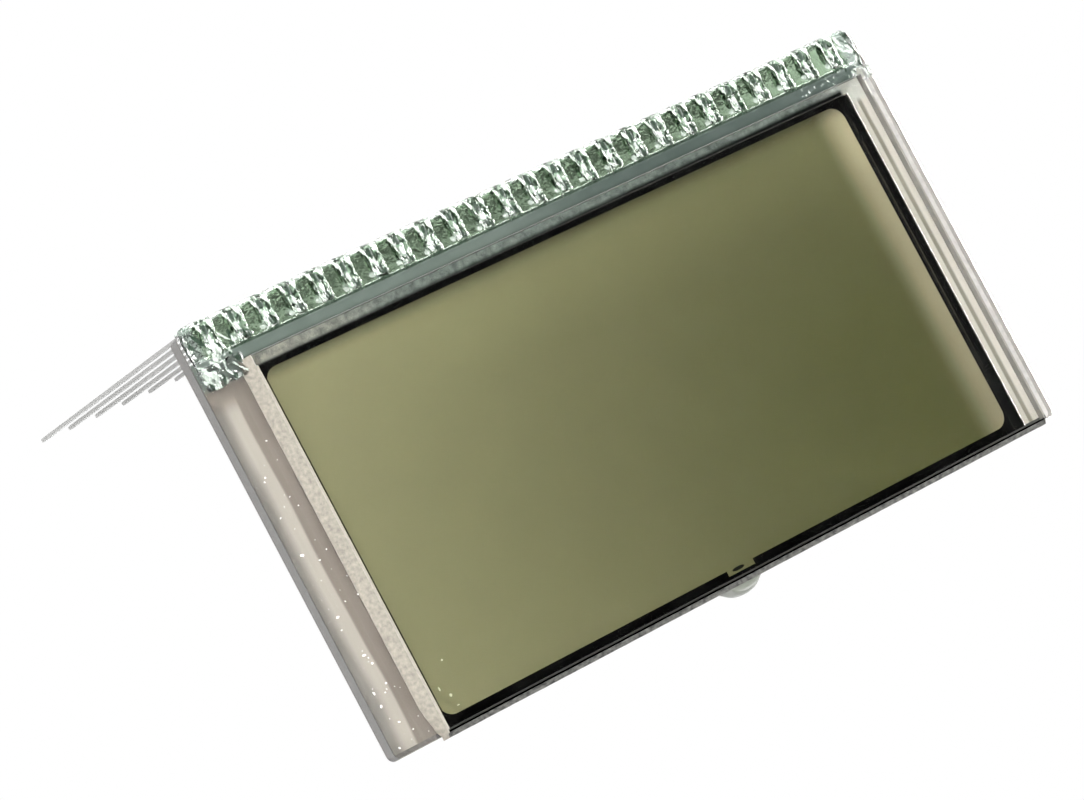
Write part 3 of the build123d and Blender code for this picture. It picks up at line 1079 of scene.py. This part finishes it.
# Each row across the bead: its place along Y, then its height above the ledge at the middle of a
# pin, at the pin's side, on the flank and half way to the next pin, in mm.
bead_rows = (
    (-2.95, 0.20, 0.20, 0.20, 0.20),
    (-2.74, 0.21, 0.21, 0.20, 0.20),
    (-2.60, 0.42, 0.46, 0.42, 0.40),
    (-2.35, 0.66, 0.80, 0.52, 0.50),
    (-2.00, 0.60, 0.84, 0.50, 0.46),
    (-1.50, 0.58, 0.80, 0.46, 0.40),
    (-1.00, 0.72, 0.88, 0.48, 0.38),
    (-0.50, 0.86, 0.94, 0.50, 0.38),
    (-0.15, 0.84, 0.92, 0.56, 0.42),
    (0.10, 0.62, 0.66, 0.46, 0.38),
)
bead_columns = (-0.8, -0.58, -0.46, -0.3, -0.13, 0.13, 0.3, 0.46, 0.58, 0.8)
column_ranges = ((0.0, 0.2), (0.2, 0.38), (0.38, 0.52), (0.52, 2.0))
bead = slab(
    "pin_resin",
    Vector((-pitch / 2, front_high.y - sunk, ledge_top - sunk)),
    Vector((pitch / 2, bead_high.y - sunk, ledge_top + film_height * MM)),
)
edit(bead)
for row in bead_rows:
    cut_across(1, row[0] * MM, wide_snap)
for column in bead_columns:
    cut_across(0, column * MM, wide_snap)
for y, *heights in bead_rows:
    for (near, far), rise_to in zip(column_ranges, heights):
        pick(
            bead,
            "verts",
            lambda v: v.co.z > ledge_top
            and abs(v.co.y - y * MM) < hair
            and near * MM <= abs(v.co.x) < far * MM,
        )
        bpy.ops.transform.translate(value=(0, 0, (rise_to - film_height) * MM))
finish_edit()
print("one pitch has", len(bead.data.polygons), "faces")

# %% The bead's outer side, then the row
edit(bead)
pick(bead, "faces", lambda f: f.normal.z < -0.9 and middle(f).y > 0.09)
bpy.ops.mesh.extrude_region_move(TRANSFORM_OT_translate={"value": (0, 0, bead_low.z - ledge_top + sunk)})
pick(bead, "faces", lambda f: abs(f.normal.x) > 0.9 and abs(abs(middle(f).x) - pin_pitch / 2) < 0.01)
bpy.ops.mesh.delete(type="FACE")
finish_edit()
copies = [bead]
row_start = -(pin_total - 1) / 2 * pitch
for number in range(1, pin_total):
    copy = bead.copy()
    copy.data = bead.data.copy()
    bpy.context.scene.collection.objects.link(copy)
    copy.location.x = row_start + number * pitch
    copies.append(copy)
bead.location.x = row_start
select(*copies)
bpy.ops.object.transform_apply(location=True, rotation=False, scale=False)
bpy.ops.object.join()
print("the row has", len(bead.data.polygons), "faces")

# %% Ends of the bead
row_half = pin_total / 2 * pitch
edit(bead)
bpy.ops.mesh.select_all(action="SELECT")
bpy.ops.mesh.remove_doubles(threshold=0.002 * MM)
for side, end in ((-1, bead_low.x), (1, bead_high.x)):
    pick(bead, "edges", lambda e: e.is_boundary and side * middle(e).x > 0)
    bpy.ops.mesh.extrude_region_move(TRANSFORM_OT_translate={"value": (end - side * row_half, 0, 0)})
    bpy.ops.mesh.edge_face_add()
bpy.ops.mesh.select_all(action="SELECT")
bpy.ops.mesh.normals_make_consistent(inside=False)
finish_edit()
smooth = bead.modifiers.new("smooth", "SUBSURF")
smooth.levels = smooth.render_levels = 1
apply_modifiers(bead)
print("smoothed, the row has", len(bead.data.polygons), "faces")

# %% Lobes that ran down beside the front plate
lobe_height = 0.5 * MM
lobe_lap = 0.6 * MM
lobe_inset, lobe_gap = 0.16 * MM, 0.1 * MM
lobe_rounding, lobe_steps = 0.22 * MM, 3
right_lobe_end = -4.17 * MM
lobe_left = slab(
    "lobe_left",
    Vector((bead_low.x + lobe_inset, bead_low.y + lobe_inset, ledge_top - sunk)),
    Vector((front_low.x - lobe_gap, front_high.y + lobe_lap, ledge_top + lobe_height)),
)
lobe_right = slab(
    "lobe_right",
    Vector((front_high.x - sunk, right_lobe_end, ledge_top - sunk)),
    Vector((bead_high.x - hair, front_high.y + lobe_lap, ledge_top + lobe_height)),
)
for lobe in (lobe_left, lobe_right):
    edit(lobe)
    foot = ledge_top + lobe_gap
    bevel_edges(lobe, lobe_rounding, lobe_steps, lambda e: middle(e).z * MM > foot or runs_along(e, 2))
    finish_edit()
select(bead, lobe_left, lobe_right)
bpy.ops.object.join()
print("with its lobes the bead has", len(bead.data.polygons), "faces")

# %% One skin over all of it
grid = 0.095 * MM
remesh = bead.modifiers.new("one_skin", "REMESH")
remesh.mode, remesh.voxel_size = "VOXEL", grid
ease = bead.modifiers.new("ease", "SMOOTH")
ease.factor, ease.iterations = 0.5, 2
apply_modifiers(bead)
print("the skin has", len(bead.data.polygons), "faces")

# %% The skin roughened where the resin lies over the pins
lobe_wander_size, lobe_wander = 0.9 * MM, 0.5 * MM
# Lumps and ripples: the size and the depth of each, in mm.
liveliness = (("lumps", 0.45, 0.13), ("ripples", 0.2, 0.05))
pin_half, row_end = 0.56, 31.2


def is_lively(co):
    """Whether a place on the skin lies over a pin or on an end, above the film of resin."""
    x, y, height = co.x / MM, co.y / MM, (co.z - ledge_top) / MM
    over_pin = abs((x + pin_pitch / 2) % pin_pitch - pin_pitch / 2) < pin_half
    clear_of_plate = y > -2.6 or abs(co.x) > abs(front_low.x)
    return height > 0.24 and y < 0.1 and clear_of_plate and (abs(x) > row_end or over_pin)


mark(bead, "wild", is_lively)
mark(bead, "lobe", lambda co: co.x < front_low.x - 0.3 * MM and co.y < -3.2 * MM)
roughen(bead, "wander", "lobe", lobe_wander_size, lobe_wander, 0.5)
for label, size, depth in liveliness:
    roughen(bead, label, "wild", size * MM, depth * MM, 0.6)
apply_modifiers(bead)
for finish in (adhesive, thin_resin, crazed_highlit_resin, glint_resin, shaded_resin):
    bead.data.materials.append(finish)
edit(bead)
thin_top = ledge_top / MM + 0.3
give_finish(bead, thin_resin, lambda f: f.normal.z > 0.5 and middle(f).y < -2.66 and middle(f).z < thin_top)
finish_edit()

# %% Crazed places, painted glints and painted shade over each pin
# Each is an oval: its middle across and along the pin, its reach both ways and its lean, in mm.
# The crescents are painted glints, and the dark places are painted shade.
crescent_glints = (
    (0.12, -0.3, 0.18, 0.34, 0.25),
    (-0.72, -0.28, 0.11, 0.38, 0.35),
    (-0.45, -2.05, 0.05, 0.36, 0.46),
    (0.25, -1.75, 0.06, 0.16, 0.6),
    (-0.28, -1.45, 0.07, 0.3, 0.3),
)
crazed_places = (
    (-0.3, -1.4, 0.15, 0.34, 0.1),
    (-0.9, -2.15, 0.24, 0.17, 0.2),
    (0.3, -0.75, 0.12, 0.2, 0.3),
)
shaded_places = (
    (-0.35, -0.6, 0.13, 0.4, 0.1),
    (-0.1, -2.0, 0.2, 0.32, 0.1),
    (0.05, -0.85, 0.12, 0.1, 0.0),
    (0.28, -2.25, 0.19, 0.2, 0.0),
)
dice = random.Random(3)
pin_shifts = {n: (dice.uniform(-0.07, 0.07), dice.uniform(-0.1, 0.1)) for n in range(-14, 15)}


def in_places(spots, across, along):
    """Whether a point over a pin, in mm, lies in one of the ovals."""
    for middle_x, middle_y, reach_x, reach_y, lean in spots:
        run, climb = across - middle_x - lean * (middle_y - along), along - middle_y
        if (run / reach_x) ** 2 + (climb / reach_y) ** 2 < 1:
            return True
    return False


def on_pin(place):
    """Where a point lies on its own pin, in mm, with a shift that differs from pin to pin."""
    number = round(place.x / pin_pitch)
    shift_x, shift_y = pin_shifts[number]
    return place.x - number * pin_pitch - shift_x, place.y - shift_y


def over_pins(face):
    """Whether a face looks up and lies over the row of pins."""
    return face.normal.z > 0.2 and abs(middle(face).x) < 31.4 and -2.56 < middle(face).y < 0.1


def shaded_foot_line(face):
    """Whether a face lies in the line of painted shade along the foot of the bead."""
    place = middle(face)
    return -2.72 < place.y < -2.52 and abs(place.x) < 31.0 and place.z * MM > ledge_top


# %% Finishes of those places
edit(bead)
for spots, finish in ((crazed_places, crazed_highlit_resin), (crescent_glints, glint_resin), (shaded_places, shaded_resin)):
    found = give_finish(bead, finish, lambda f: over_pins(f) and in_places(spots, *on_pin(middle(f))))
    print(found, "faces of", finish.name)
print(give_finish(bead, shaded_resin, shaded_foot_line), "faces along the foot")
finish_edit()

# %% Slivers on both ends and on the strip near the right end, where the resin was pulled, as crazing, painted glints and painted shade
# Each line gives how many slivers, their range along X and Y, their widths and lengths, and the
# finishes that they take in turn.
left_turns = (glint_resin, glint_resin, crazed_highlit_resin, shaded_resin)
right_turns = (crazed_highlit_resin, shaded_resin, shaded_resin, crazed_highlit_resin)
pulled = (
    (36, (-32.6, -28.9), (-4.9, -1.2), (0.06, 0.19), (0.18, 0.7), left_turns),
    (30, (31.2, 33.2), (-3.9, -0.2), (0.04, 0.14), (0.1, 0.5), right_turns),
    (16, (25.0, 31.6), (-3.5, -2.7), (0.03, 0.07), (0.05, 0.16), (glint_resin, crazed_highlit_resin)),
)
sliver_leans = (-0.3, 0.9)
dice = random.Random(11)
edit(bead)
for count, *ranges, finishes in pulled:
    slivers = [tuple(dice.uniform(*span) for span in (*ranges, sliver_leans)) for number in range(count)]
    for turn, finish in enumerate(finishes):
        share = slivers[turn :: len(finishes)]
        give_finish(bead, finish, lambda f: f.normal.z > 0.2 and in_places(share, middle(f).x, middle(f).y))
finish_edit()
select(bead)
bpy.ops.object.shade_smooth()
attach(bead, "root")
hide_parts("pin_adhesive")
print("pin_resin has", len(bead.data.polygons), "faces")

# %% [markdown]
# ## Crumbs of glass
#
# Snapping the plates left crumbs, most of them on the open ledge at the left. A particle system
# could scatter them, but a short loop with a fixed seed puts them where they lie and stays the same
# from run to run. Each crumb is a small cone with few sides, turned at random.

# %% Crumbs
crumb_total = 46
crumb_sizes = (0.03, 0.04, 0.05, 0.065, 0.09)
ledge_start, ledge_end = plate_low.x + 0.6, -29.4
crumbs_top, crumbs_run = -5.5, 27.8
dice = random.Random(7)
crumbs = []
for number in range(crumb_total):
    along = dice.random() ** 0.7
    crumb_x = dice.uniform(ledge_start, ledge_end)
    crumb_y = crumbs_top - along * crumbs_run
    crumb_size = dice.choice(crumb_sizes)
    bpy.ops.object.select_all(action="DESELECT")
    bpy.ops.mesh.primitive_cone_add(
        vertices=dice.choice((3, 4, 5)),
        radius1=crumb_size * MM,
        radius2=crumb_size * 0.5 * MM,
        depth=crumb_size * 1.1 * MM,
        location=(crumb_x * MM, crumb_y * MM, ledge_top + crumb_size * 0.62 * MM),
        rotation=(dice.uniform(-0.4, 0.4), dice.uniform(-0.4, 0.4), dice.uniform(0, math.tau)),
    )
    crumb = bpy.context.object
    crumb.scale.x = dice.choice((1.0, 1.3, 1.9))
    crumbs.append(crumb)
select(*crumbs)
bpy.ops.object.transform_apply(location=True, rotation=True, scale=True)
bpy.ops.object.join()
crumb_pile = crumbs[0]
crumb_pile.name = crumb_pile.data.name = "glass_crumbs"
bpy.ops.object.transform_apply(location=True, rotation=True, scale=True)
crumb_pile.data.materials.append(crumb_white)
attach(crumb_pile, "root")
print(crumb_total, "crumbs,", len(crumb_pile.data.polygons), "faces")
